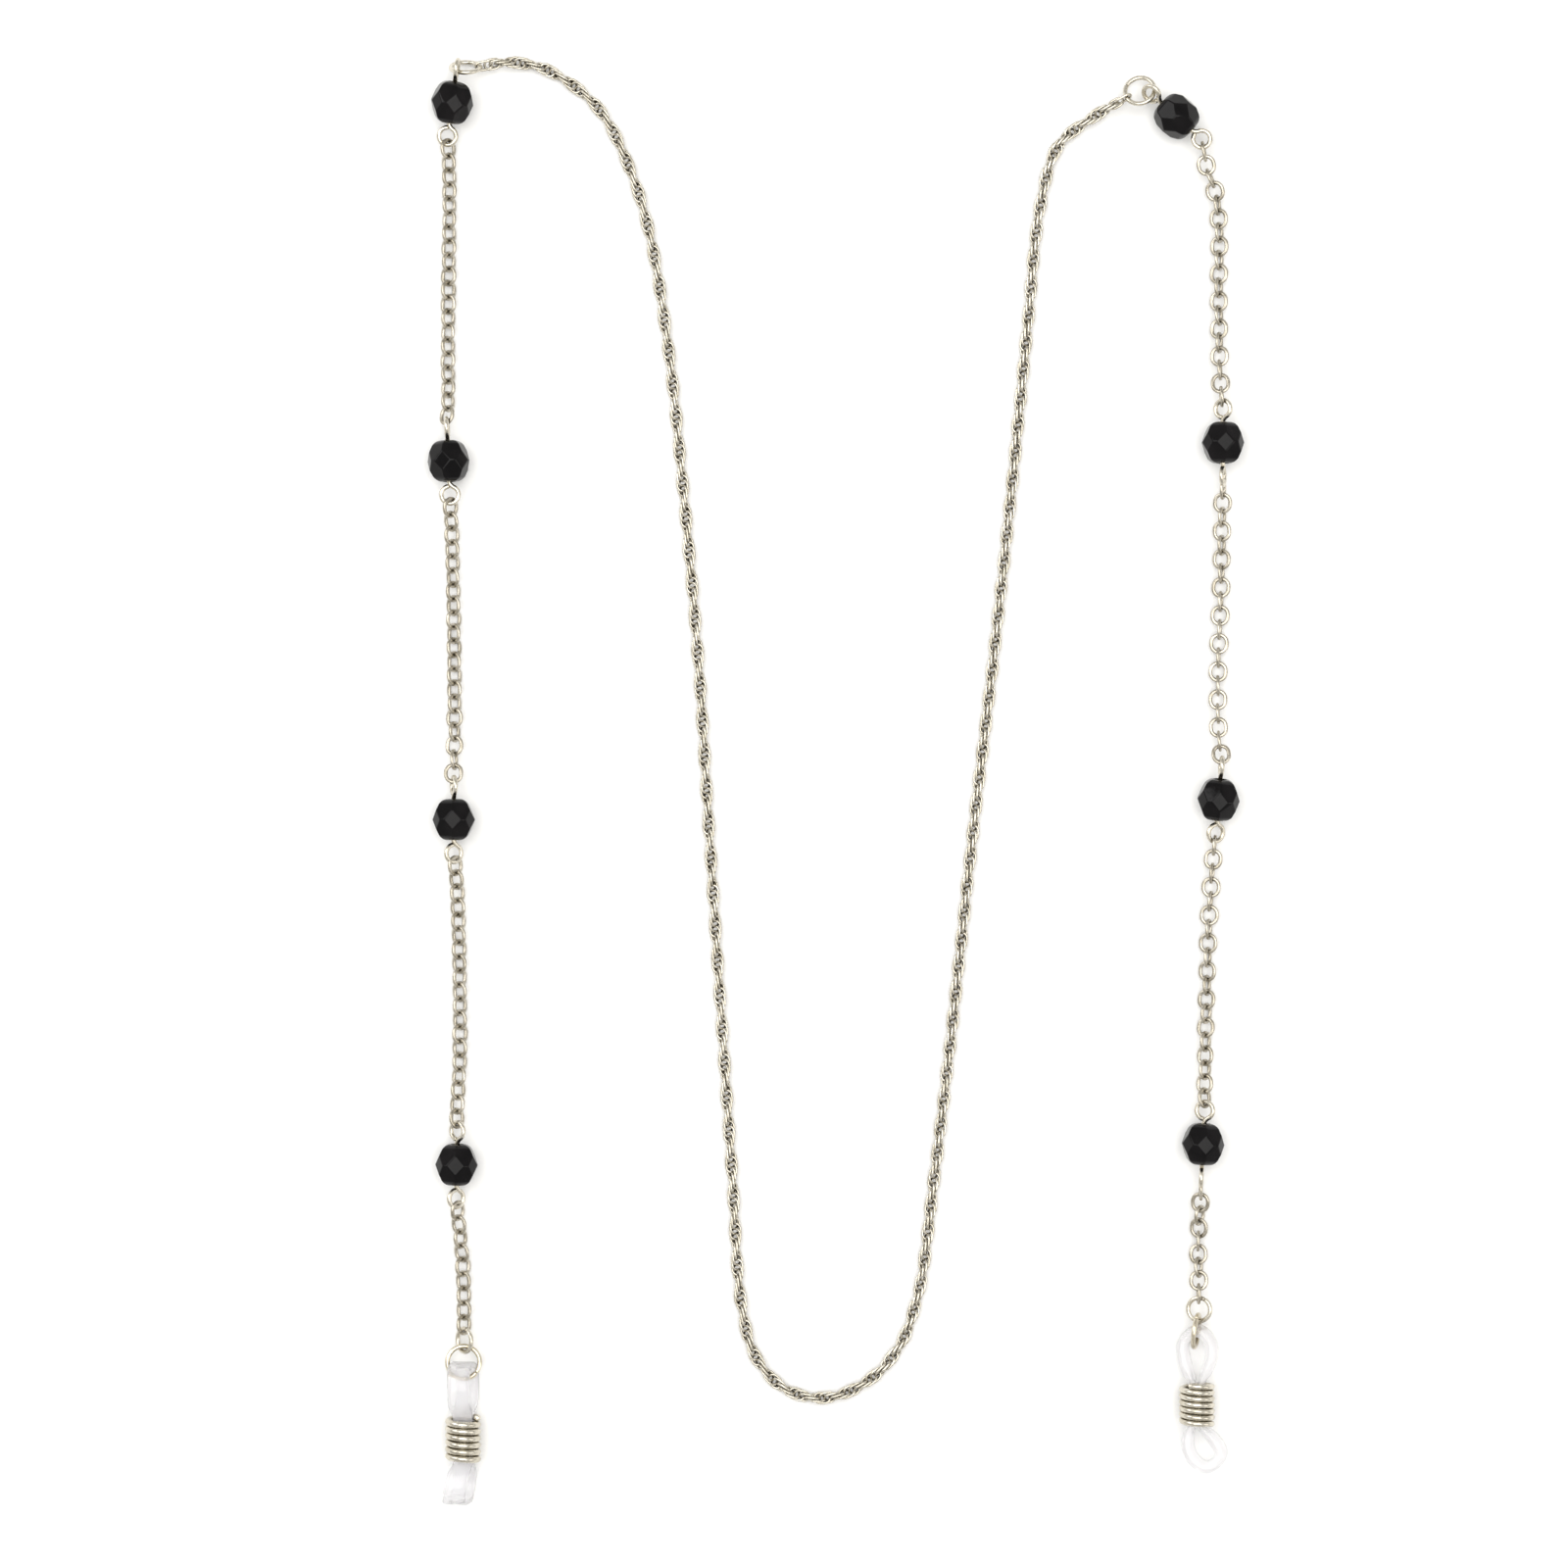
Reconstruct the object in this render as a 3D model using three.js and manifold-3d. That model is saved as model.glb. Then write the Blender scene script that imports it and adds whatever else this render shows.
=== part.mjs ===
// Beaded eyeglass chain, lying flat on a table: a loose rope chain round the neck, a strand of
// fine cable chain and faceted glass beads down each side, and a clear loop with a sliding wire
// coil that grips the arm of the spectacles at the end of each strand.
// Millimetres. +X right, +Y towards the neck end, +Z up, table at z = 0, origin in the middle.
import * as THREE from 'three';
import { ConvexGeometry } from 'three/addons/geometries/ConvexGeometry.js';
import { mergeVertices } from 'three/addons/utils/BufferGeometryUtils.js';
import Module from 'manifold-3d';

// ---------------------------------------------------------------- driving dimensions

const BEAD = {
  apothem: 2.9,         // bore axis to the ridge round the middle
  diamondApothem: 2.67, // bore axis to the six diamond facets
  slope: 24,            // lean of the twelve long facets, degrees
  halfLength: 2.8,
  sides: 6,
  boreRadius: 0.52,
};
const PIN = { wire: 0.65, eyeRadius: 1.17, eyeOffset: 4.6, neck: 2.95, eyeStart: 30, eyeEnd: 330 };
const LINK = { wire: 0.42, width: 2.25, length: 2.85 };
const ROPE_LINK = { wire: 0.36, width: 1.55, length: 2.6 };
const CABLE = { diameter: 2.2, restHeight: 1.15, drape: 8 };
const ROPE = { diameter: 1.9, restHeight: 0.96, drape: 7, steps: 80 };
const TOP_RING = { wire: 0.62, radius: 2.0 };
const SMALL_RING = { wire: 0.62, radius: 1.57 };
const LARGE_RING = { wire: 0.62, radius: 2.2 };
const COIL = { wire: 0.75, outer: 4.9, turns: 6.3, stepsPerTurn: 10 };
const BAND = { width: 2.9, thickness: 1.1, pinched: 1.0, bore: 1.4 };
const GAP = 0.3;        // left between a chain's plain body and its end link
const PLAY = 0.12;      // left between two wires that hook into each other
const WIRE_SIDES = 6;

// Each pin and its bead: bead centre, heading of the upper eye about Z, tilt of that eye above
// the table, roll of each eye about the pin (0 lies flat, 90 stands on edge) and of the bead.
const LEFT_PINS = [
  { at: [-52.0, 91.9, 2.93], heading: -9, tilt: 12, upper: 90, lower: 0, spin: 15 },
  { at: [-52.5, 43.2, 2.88], heading: 2.5, tilt: 0, upper: 90, lower: 0, spin: -14 },
  { at: [-51.8, -5.5, 2.67], heading: 0, tilt: 0, upper: 74, lower: -35, spin: 0 },
  { at: [-51.4, -52.4, 2.67], heading: -1, tilt: 0, upper: 42, lower: -40, spin: 0 },
];
const RIGHT_PINS = [
  { at: [46.4, 90.0, 2.88], heading: 48, tilt: 0, upper: 50, lower: 0, spin: 14 },
  { at: [52.7, 45.7, 2.75], heading: 0, tilt: 0, upper: 38, lower: -76, spin: 4 },
  { at: [52.1, -2.8, 2.88], heading: -4, tilt: 9, upper: 90, lower: -28, spin: 0 },
  { at: [50.0, -49.6, 2.75], heading: -3, tilt: 0, upper: 25, lower: -84, spin: 4 },
];

// Where each length of cable chain lies between its two hooks: x, y on the table.
const LEFT_CABLES = [
  [[-52.5, 82], [-52.6, 69], [-52.7, 57], [-52.6, 52]],
  [[-52.1, 33], [-51.9, 20], [-51.8, 8], [-51.8, 3]],
  [[-51.4, -15], [-51.15, -25], [-51.1, -38], [-51.3, -43]],
  [[-51.1, -61], [-50.7, -66], [-50.5, -71]],
];
const RIGHT_CABLES = [
  [[50.6, 83], [51.7, 80.2], [52.3, 76], [52.3, 66], [52.4, 55]],
  [[52.7, 36], [52.6, 26], [52.2, 14], [52.2, 6]],
  [[51.4, -12], [50.9, -21], [50.6, -31], [50.3, -41]],
  [[49.7, -58], [49.5, -63], [49.5, -67]],
];

// Where the rope chain lies, from the left hand ring to the right hand one.
const ROPE_ROUTE = [
  [-44.2, 97.6], [-40.2, 97.0], [-36.2, 94.9], [-32.0, 91.1], [-28.3, 84.1], [-25.3, 74.5],
  [-22.7, 58.8], [-20.5, 37.8], [-18.6, 16.0], [-17.2, -6.0], [-15.7, -28.9], [-14.0, -53.9],
  [-12.7, -71.8], [-10.8, -78.7], [-6.8, -83.1], [-1.1, -84.3], [4.5, -82.0], [8.6, -77.6],
  [11.4, -70.1], [13.3, -56.3], [16.0, -33.5], [18.8, -7.5], [21.7, 17.2], [24.2, 40.5],
  [26.3, 62.0], [28.0, 78.0], [30.5, 86.3], [35.3, 90.2],
];

// Rings: centre, height of the raised edge and the way that edge points.
const LEFT_TOP = { at: [-50.2, 96.75, 2.35], tilt: 61, raised: [0, -1] };
const RIGHT_TOP = { at: [41.45, 93.6, 2.25], tilt: 24, raised: [0.5, -0.85] };
const LEFT_SMALL = { at: [-50.4, -76.35, 1.95], tilt: 50, raised: [1, 0] };
const LEFT_LARGE = { at: [-50.5, -79.32, 2.25], tilt: 8, raised: [0, -1] };
const RIGHT_SMALL = { at: [49.5, -72.08, 2.5], tilt: 23, raised: [1, 0] };
const RIGHT_LARGE = { at: [49.1, -75.0, 2.55], tilt: 101, raised: [1, 0] };

// Clear loops: centre of the coil, roll about the strand (90 stands on edge), pitch of the coil,
// sideways lean of the lower loop, and the band's route as [across, along] from the centre.
const LEFT_GRIP = {
  at: [-50.55, -89.7, 2.5], roll: 90, pitch: 0.93, lean: -0.15,
  route: [
    [0.62, 3.2], [1.35, 4.8], [1.8, 6.8], [1.55, 9.0], [0.0, 9.95],
    [-1.55, 9.0], [-1.8, 6.8], [-1.35, 4.8], [-0.62, 3.2],
    [-0.56, 0], [-0.62, -3.2], [-1.3, -4.6], [-1.75, -6.3], [-1.2, -7.9],
    [0.0, -8.35], [1.2, -7.9], [1.75, -6.3], [1.3, -4.6], [0.62, -3.2], [0.56, 0],
  ],
};
const RIGHT_GRIP = {
  at: [49.2, -84.9, 2.5], roll: -14, pitch: 0.84, lean: 0,
  route: [
    [0.62, 2.9], [1.3, 4.4], [1.95, 6.3], [2.0, 7.9], [1.3, 9.2], [0.15, 9.95],
    [-1.1, 9.3], [-1.9, 7.9], [-1.8, 6.3], [-1.25, 4.4], [-0.62, 2.9],
    [-0.56, 0], [-0.62, -2.9], [-1.15, -4.3], [-1.2, -6.0], [-0.4, -7.6],
    [1.1, -8.55], [2.6, -7.9], [3.3, -6.5], [2.3, -4.7], [0.62, -2.9], [0.56, 0],
  ],
};

// ---------------------------------------------------------------- materials

const silver = new THREE.MeshStandardMaterial({ color: 0xd8d0c0, roughness: 0.25, metalness: 1 });
const glass = new THREE.MeshStandardMaterial({ color: 0x0a0a0c, roughness: 0.08, metalness: 0 });
const vinyl = new THREE.MeshStandardMaterial({
  color: 0xf2f0f5, roughness: 0.3, metalness: 0, transparent: true, opacity: 0.45,
});

// ---------------------------------------------------------------- solid modelling

const wasm = await Module();
wasm.setup();

function solid(geometry) {
  const bare = geometry.clone();
  bare.deleteAttribute('normal');
  bare.deleteAttribute('uv');
  const merged = mergeVertices(bare, 1e-4);
  return new wasm.Manifold(new wasm.Mesh({
    numProp: 3,
    vertProperties: new Float32Array(merged.attributes.position.array),
    triVerts: new Uint32Array(merged.index.array),
  }));
}

function geometryOf(manifold) {
  const { vertProperties, triVerts } = manifold.getMesh();
  const geometry = new THREE.BufferGeometry();
  geometry.setAttribute('position', new THREE.BufferAttribute(vertProperties, 3));
  geometry.setIndex(new THREE.BufferAttribute(triVerts, 1));
  geometry.computeVertexNormals();
  return geometry;
}

// ---------------------------------------------------------------- directions

const Y = new THREE.Vector3(0, 1, 0);
const Z = new THREE.Vector3(0, 0, 1);
const radians = THREE.MathUtils.degToRad;

// start + direction * distance
const along = (start, direction, distance) => start.clone().addScaledVector(direction, distance);

// The unit vector from a to b, laid into the plane with this normal.
function directionInPlane(a, b, normal) {
  return b.clone().sub(a).projectOnPlane(normal).normalize();
}

// Turns a mesh so that its own Y and Z lie along these two directions.
function aim(mesh, yAxis, zAxis) {
  const x = new THREE.Vector3().crossVectors(yAxis, zAxis).normalize();
  const z = new THREE.Vector3().crossVectors(x, yAxis);
  mesh.quaternion.setFromRotationMatrix(new THREE.Matrix4().makeBasis(x, yAxis, z));
}

// ---------------------------------------------------------------- wire and chain shapes

function roundSection(radius, sides) {
  const points = [];
  for (let i = 0; i < sides; i++) {
    const turn = (2 * Math.PI * i) / sides;
    points.push(new THREE.Vector2(radius * Math.cos(turn), radius * Math.sin(turn)));
  }
  return new THREE.Shape(points);
}

function tube(curve, radius, sides, steps) {
  return new THREE.ExtrudeGeometry(roundSection(radius, sides), {
    steps, extrudePath: curve, bevelEnabled: false,
  });
}

// A wire ring whose two halves are drawn apart along Y, which makes a long oval link.
function ovalRing({ wire, width, length }) {
  const geometry = new THREE.TorusGeometry((width - wire) / 2, wire / 2, WIRE_SIDES, 10);
  const stretch = (length - width) / 2;
  const position = geometry.attributes.position;
  for (let i = 0; i < position.count; i++) {
    const y = position.getY(i);
    if (Math.abs(y) > 1e-5) position.setY(i, y + Math.sign(y) * stretch);
  }
  return geometry;
}

// One wire: an eye at each end of a straight shank that lies along Y.
function eyePin(upperRoll, lowerRoll) {
  const eye = (side, roll) => {
    const across = new THREE.Vector3(Math.cos(radians(roll)), 0, Math.sin(radians(roll)));
    const points = [];
    for (let angle = PIN.eyeStart; angle <= PIN.eyeEnd; angle += 30) {
      const point = new THREE.Vector3(0, side * PIN.eyeOffset, 0);
      point.addScaledVector(across, PIN.eyeRadius * Math.sin(radians(angle)));
      point.addScaledVector(Y, -side * PIN.eyeRadius * Math.cos(radians(angle)));
      points.push(point);
    }
    return points;
  };
  const curve = new THREE.CatmullRomCurve3([
    ...eye(-1, lowerRoll).reverse(),
    new THREE.Vector3(0, -PIN.neck, 0),
    new THREE.Vector3(0, 0, 0),
    new THREE.Vector3(0, PIN.neck, 0),
    ...eye(1, upperRoll),
  ]);
  return tube(curve, PIN.wire / 2, WIRE_SIDES, 30);
}

// Twelve long facets lean in from a ridge round the middle, and six diamonds cut the corners
// where they meet. The bore runs along Y.
function facetedBead() {
  const half = Math.PI / BEAD.sides;
  const lean = Math.tan(radians(BEAD.slope));
  const ridge = (BEAD.apothem - BEAD.diamondApothem * Math.cos(half)) / Math.sin(half);
  const diamondTop = (BEAD.apothem - BEAD.diamondApothem * Math.cos(half)) / lean;
  const endRadius = (BEAD.apothem - BEAD.halfLength * lean) / Math.cos(half);
  const points = [];
  for (let i = 0; i < BEAD.sides; i++) {
    const facing = 2 * half * i;
    const corner = (radius, across, y) => points.push(new THREE.Vector3(
      radius * Math.sin(facing) + across * Math.cos(facing), y,
      radius * Math.cos(facing) - across * Math.sin(facing),
    ));
    corner(BEAD.diamondApothem, ridge, 0);
    corner(BEAD.diamondApothem, -ridge, 0);
    for (const side of [-1, 1]) {
      corner(BEAD.diamondApothem, 0, side * diamondTop);
      corner(endRadius, 0, side * BEAD.halfLength);
    }
  }
  const bore = new THREE.CylinderGeometry(BEAD.boreRadius, BEAD.boreRadius, 4 * BEAD.apothem, 10);
  return geometryOf(solid(new ConvexGeometry(points)).subtract(solid(bore)));
}

class Helix extends THREE.Curve {
  constructor(radius, pitch, turns) {
    super();
    Object.assign(this, { radius, pitch, turns });
  }

  getPoint(t, target = new THREE.Vector3()) {
    const angle = 2 * Math.PI * this.turns * t;
    const y = this.pitch * this.turns * (t - 0.5);
    return target.set(this.radius * Math.cos(angle), y, this.radius * Math.sin(angle));
  }
}

function coil(pitch) {
  const helix = new Helix((COIL.outer - COIL.wire) / 2, pitch, COIL.turns);
  const steps = Math.round(COIL.turns * COIL.stepsPerTurn);
  return tube(helix, COIL.wire / 2, WIRE_SIDES, steps);
}

// A closed flat band that follows the route, pinched thin and narrow where the coil holds it.
function band({ route, pitch, lean }) {
  const points = route.map(([across, y]) => new THREE.Vector3(across, y, 0));
  const centre = new THREE.CatmullRomCurve3(points, true);
  const coilHalf = (COIL.turns * pitch + COIL.wire) / 2;
  const edge = (side) => {
    const outline = [];
    const count = 56;
    for (let i = 0; i < count; i++) {
      const at = centre.getPointAt(i / count);
      const tangent = centre.getTangentAt(i / count);
      const free = THREE.MathUtils.smoothstep(Math.abs(at.y), coilHalf, coilHalf + 1.5);
      const half = THREE.MathUtils.lerp(BAND.pinched, BAND.thickness, free) / 2;
      outline.push(new THREE.Vector2(at.x + side * half * tangent.y, at.y - side * half * tangent.x));
    }
    return outline;
  };
  const shape = new THREE.Shape(edge(1));
  shape.holes.push(new THREE.Path(edge(-1)));
  const flat = new THREE.ExtrudeGeometry(shape, { depth: BAND.width, bevelEnabled: false });
  flat.translate(0, 0, -BAND.width / 2);
  const length = 2 * coilHalf + 2 * GAP;
  const outside = solid(new THREE.CylinderGeometry(4, 4, length, 12));
  const inside = solid(new THREE.CylinderGeometry(BAND.bore, BAND.bore, 2 * length, 16));
  const geometry = geometryOf(solid(flat).subtract(outside.subtract(inside)));
  const position = geometry.attributes.position;
  for (let i = 0; i < position.count; i++) {
    const below = Math.max(0, -coilHalf - position.getY(i));
    position.setZ(i, position.getZ(i) + lean * below);
  }
  return geometry;
}

// ---------------------------------------------------------------- assembly

const chain = new THREE.Group();

function addMesh(name, geometry, material) {
  const mesh = new THREE.Mesh(geometry, material);
  mesh.name = name;
  chain.add(mesh);
  return mesh;
}

// A round eye or ring that something can hook into: its centre, its normal and its wire.
function hookOn(mesh, centre, normal, { radius, wire }) {
  return {
    centre: centre.clone().applyQuaternion(mesh.quaternion).add(mesh.position),
    normal: normal.clone().applyQuaternion(mesh.quaternion),
    radius,
    wire,
  };
}

function addPin(name, { at, heading, tilt, upper, lower, spin }) {
  const pin = addMesh(`${name.replace('#', 'eye_pin')}`, eyePin(upper, lower), silver);
  const bead = addMesh(`${name.replace('#', 'bead')}`, facetedBead(), glass);
  const turn = new THREE.Euler(radians(tilt), 0, radians(heading), 'ZYX');
  for (const mesh of [pin, bead]) {
    mesh.position.set(...at);
    mesh.quaternion.setFromEuler(turn);
  }
  bead.rotateY(radians(spin));
  const eye = { radius: PIN.eyeRadius, wire: PIN.wire };
  const normal = (roll) => new THREE.Vector3(-Math.sin(radians(roll)), 0, Math.cos(radians(roll)));
  return {
    upper: hookOn(pin, new THREE.Vector3(0, PIN.eyeOffset, 0), normal(upper), eye),
    lower: hookOn(pin, new THREE.Vector3(0, -PIN.eyeOffset, 0), normal(lower), eye),
  };
}

function addRing(name, size, { at, tilt, raised }) {
  const mesh = addMesh(name, new THREE.TorusGeometry(size.radius, size.wire / 2, WIRE_SIDES, 20), silver);
  const towards = new THREE.Vector3(...raised, 0).normalize();
  const normal = Z.clone().multiplyScalar(Math.cos(radians(tilt)));
  normal.addScaledVector(towards, -Math.sin(radians(tilt)));
  mesh.position.set(...at);
  mesh.quaternion.setFromUnitVectors(Z, normal);
  return hookOn(mesh, new THREE.Vector3(), Z, size);
}

// The point on the hook's wire that lies nearest to the way the chain leaves.
function grabPoint(hook, target) {
  return along(hook.centre, directionInPlane(hook.centre, target, hook.normal), hook.radius);
}

// A chain between two hooks: a real end link through each hook and a plain body between them,
// which sinks from the hooks to the table and follows the way points.
function addChain(names, start, end, wayPoints, body, link) {
  const lay = (hook, [x, y]) => {
    const grab = grabPoint(hook, new THREE.Vector3(x, y, body.restHeight));
    const travelled = Math.hypot(x - grab.x, y - grab.y);
    const left = Math.max(0, 1 - travelled / body.drape);
    return body.restHeight + left * (grab.z - body.restHeight);
  };
  const middle = wayPoints.map(([x, y], i) => {
    const hook = i < wayPoints.length / 2 ? start : end;
    return new THREE.Vector3(x, y, lay(hook, [x, y]));
  });
  const first = grabPoint(start, middle[0]);
  const last = grabPoint(end, middle[middle.length - 1]);
  const route = new THREE.CatmullRomCurve3([first, ...middle, last], false, 'centripetal');
  const length = route.getLength();

  const addEndLink = (name, hook, grab, reach) => {
    const target = route.getPointAt(reach / length);
    const leave = target.clone().sub(grab).normalize();
    const mesh = addMesh(name, ovalRing(link), silver);
    const inset = (hook.wire + link.wire) / 2 + PLAY;
    mesh.position.copy(along(grab, leave, (link.length - link.wire) / 2 - inset));
    const across = hook.normal.clone().projectOnPlane(leave).normalize();
    aim(mesh, leave, new THREE.Vector3().crossVectors(across, leave));
    return link.length - link.wire / 2 - inset + GAP;
  };
  const reach = link.length;
  const startTrim = addEndLink(names.firstLink, start, first, reach);
  const endTrim = addEndLink(names.lastLink, end, last, length - reach);

  const points = [];
  const steps = body.steps ?? Math.round(length / (2 * body.diameter));
  for (let i = 0; i <= steps; i++) {
    const distance = startTrim + ((length - startTrim - endTrim) * i) / steps;
    const point = route.getPointAt(distance / length);
    point.z = Math.max(point.z, body.restHeight);
    points.push(point);
  }
  const path = new THREE.CatmullRomCurve3(points, false, 'centripetal');
  addMesh(names.body, tube(path, body.diameter / 2, 8, steps), silver);
}

function addGrip(side, grip) {
  const loop = addMesh(`${side}_temple_loop`, band(grip), vinyl);
  const keeper = addMesh(`${side}_keeper_coil`, coil(grip.pitch), silver);
  for (const mesh of [loop, keeper]) {
    mesh.position.set(...grip.at);
    mesh.rotateY(radians(grip.roll));
  }
}

function addStrand(side, pins, cables, topRing, smallRing, largeRing, grip) {
  const top = addRing(`${side}_top_ring`, TOP_RING, topRing);
  const eyes = pins.map((pin, i) => addPin(`${side}_#_${i + 1}`, pin));
  const small = addRing(`${side}_small_ring`, SMALL_RING, smallRing);
  addRing(`${side}_large_ring`, LARGE_RING, largeRing);
  cables.forEach((wayPoints, i) => {
    const names = {
      body: `${side}_cable_chain_${i + 1}`,
      firstLink: `${side}_upper_end_link_${i + 1}`,
      lastLink: `${side}_lower_end_link_${i + 1}`,
    };
    const end = i + 1 < eyes.length ? eyes[i + 1].upper : small;
    addChain(names, eyes[i].lower, end, wayPoints, CABLE, LINK);
  });
  addGrip(side, grip);
  return top;
}

const leftTop = addStrand(
  'left', LEFT_PINS, LEFT_CABLES, LEFT_TOP, LEFT_SMALL, LEFT_LARGE, LEFT_GRIP,
);
const rightTop = addStrand(
  'right', RIGHT_PINS, RIGHT_CABLES, RIGHT_TOP, RIGHT_SMALL, RIGHT_LARGE, RIGHT_GRIP,
);
addChain(
  { body: 'rope_chain', firstLink: 'rope_end_link_left', lastLink: 'rope_end_link_right' },
  leftTop, rightTop, ROPE_ROUTE, ROPE, ROPE_LINK,
);

export default chain;
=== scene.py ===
"""Looks of the beaded eyeglass chain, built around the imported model, in the same frame.

The chain lies flat on a table and is seen from straight above. Lengths in the tables are
millimetres, and MM turns them into metres.
"""

import math
import random

import bmesh
import bpy
import numpy as np
from mathutils import Matrix, Vector


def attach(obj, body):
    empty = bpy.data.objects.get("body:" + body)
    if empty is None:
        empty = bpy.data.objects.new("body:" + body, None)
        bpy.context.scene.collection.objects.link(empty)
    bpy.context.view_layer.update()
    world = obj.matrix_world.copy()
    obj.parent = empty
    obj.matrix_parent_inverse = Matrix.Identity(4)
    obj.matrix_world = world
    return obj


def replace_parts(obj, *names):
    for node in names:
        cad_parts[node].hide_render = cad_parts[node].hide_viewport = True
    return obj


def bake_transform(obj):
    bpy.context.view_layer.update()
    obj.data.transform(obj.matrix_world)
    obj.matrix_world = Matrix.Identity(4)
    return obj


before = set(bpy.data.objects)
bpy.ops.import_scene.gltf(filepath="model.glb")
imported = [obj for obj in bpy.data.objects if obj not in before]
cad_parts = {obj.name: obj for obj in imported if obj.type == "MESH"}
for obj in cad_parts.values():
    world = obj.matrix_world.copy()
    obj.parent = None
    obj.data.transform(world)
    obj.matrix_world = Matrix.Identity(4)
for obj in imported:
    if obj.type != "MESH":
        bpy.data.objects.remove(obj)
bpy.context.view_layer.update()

MM = 0.001
X_AXIS = np.array([1.0, 0.0, 0.0])
Y_AXIS = np.array([0.0, 1.0, 0.0])
Z_AXIS = np.array([0.0, 0.0, 1.0])
chance = random.Random(11)  # every small irregularity is drawn from here, in order

# ---------------------------------------------------------------- sizes

# Bead: how far its long facets (at the middle) and its diamonds lie from its axis, the long facets'
# slope to the axis in degrees, and how widely the edges between facets and round the ends are softened.
BEAD = {
    "apothem": 2.9, "diamond_apothem": 2.67, "slope": 24, "half_length": 2.8, "sides": 6,
    "facet_edge": 0.15, "end_edge": 0.75, "uneven": 0.02,
}
# Bore: its radii from the middle of the bead out to the dished rim, of which lip is a share of the
# rim's, and the depth of the dish.
BORE = {"bore": 0.52, "throat": 0.6, "dish": 0.78, "lip": 0.97, "rim": 0.95, "rim_depth": 0.28}
# Eye pin: start and end are how far round each eye its wire begins and stops, in degrees.
PIN = {"wire": 0.65, "eye_radius": 1.17, "eye_offset": 4.6, "neck": 2.95, "start": 22, "end": 352}
CABLE_LINK = {
    "width": 2.6, "length": 2.92, "wire": 0.43, "face": 0.53, "pitch": 1.97, "gap": 0.06,
    "uneven": 0.05,
}
ROPE_LINK = {"width": 1.74, "length": 2.45, "wire": 0.34, "pitch": 0.7}
# Length of rope in half a twist, at shares of its length from the left end.
ROPE_TWIST = {"share": [0, 0.25, 0.45, 0.52, 1], "length": [4.2, 4.7, 4.6, 3.6, 3.8]}
END_LINK = {"width": 1.55, "length": 2.6, "wire": 0.36}
# Chains: width, height of the middle when they lie on the table, length over which they sink there
# from a hook, and how unevenly the links lie, in degrees and as a slope.
CABLE = {"diameter": 2.2, "rest_height": 1.15, "drape": 8, "uneven_roll": 5, "uneven_lean": 0.04}
ROPE = {"diameter": 1.9, "rest_height": 0.96, "drape": 7, "uneven_roll": 3, "uneven_lean": 0.02}
# Spacing of the points taken along a chain's route, and the shortest length for which they are taken.
CORD_STEP = 2
SHORTEST_CORD = 30
# Jump rings: radius to the middle of the wire, and where round the ring it is cut, in degrees.
TOP_RING = {"wire": 0.62, "radius": 2.0, "cut": 150}
SMALL_RING = {"wire": 0.62, "radius": 1.57, "cut": 60}
LARGE_RING = {"wire": 0.67, "radius": 2.2, "cut": -38}
COIL = {"slack": 0.03, "outer": 4.9, "turns": 6.3, "uneven": 0.02, "uneven_beat": 2.3}
# The clear band: half its width, half its width and thickness where the coil pinches it, how far the
# pinch stops short of the coil's end, over what length the band opens again, how far to the side a
# strand of it lies, and how far from the coil's middle it is widest.
BAND = {
    "half_width": 1.55, "pinched_width": 1.36, "pinched_thick": 0.5, "short": 0.4, "opening": 2.4,
    "strand": 0.8, "widest": 7.0,
}
# Free play between two pieces that hook into each other.
PLAY = 0.12
# Sides of the round and rounded sections, and of the bore.
SIDES = {"wire": 14, "rope_link": 6, "end_link": 10, "cable_link": 12, "band": 20, "bore": 28}

# Each pin and its bead: bead centre, heading of the upper eye, its tilt above the table, roll of
# each eye about the pin (0 lies flat, 90 stands on edge) and roll of the bead.
PINS = {
    "left": [
        {"at": [-52.0, 91.9, 2.93], "heading": -9, "tilt": 12, "upper": 90, "lower": 0, "spin": 15},
        {"at": [-52.5, 43.2, 2.88], "heading": 2.5, "tilt": 0, "upper": 90, "lower": 0, "spin": -14},
        {"at": [-51.8, -5.5, 2.67], "heading": 0, "tilt": 0, "upper": 74, "lower": -35, "spin": 0},
        {"at": [-51.4, -52.4, 2.67], "heading": -1, "tilt": 0, "upper": 42, "lower": -40, "spin": 0},
    ],
    "right": [
        {"at": [46.4, 90.0, 2.88], "heading": 48, "tilt": 0, "upper": 50, "lower": 0, "spin": 14},
        {"at": [52.7, 45.7, 2.75], "heading": 0, "tilt": 0, "upper": 38, "lower": -76, "spin": 4},
        {"at": [52.1, -2.8, 2.88], "heading": -4, "tilt": 9, "upper": 90, "lower": -28, "spin": 0},
        {"at": [50.0, -49.6, 2.75], "heading": -3, "tilt": 0, "upper": 25, "lower": -84, "spin": 4},
    ],
}

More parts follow.
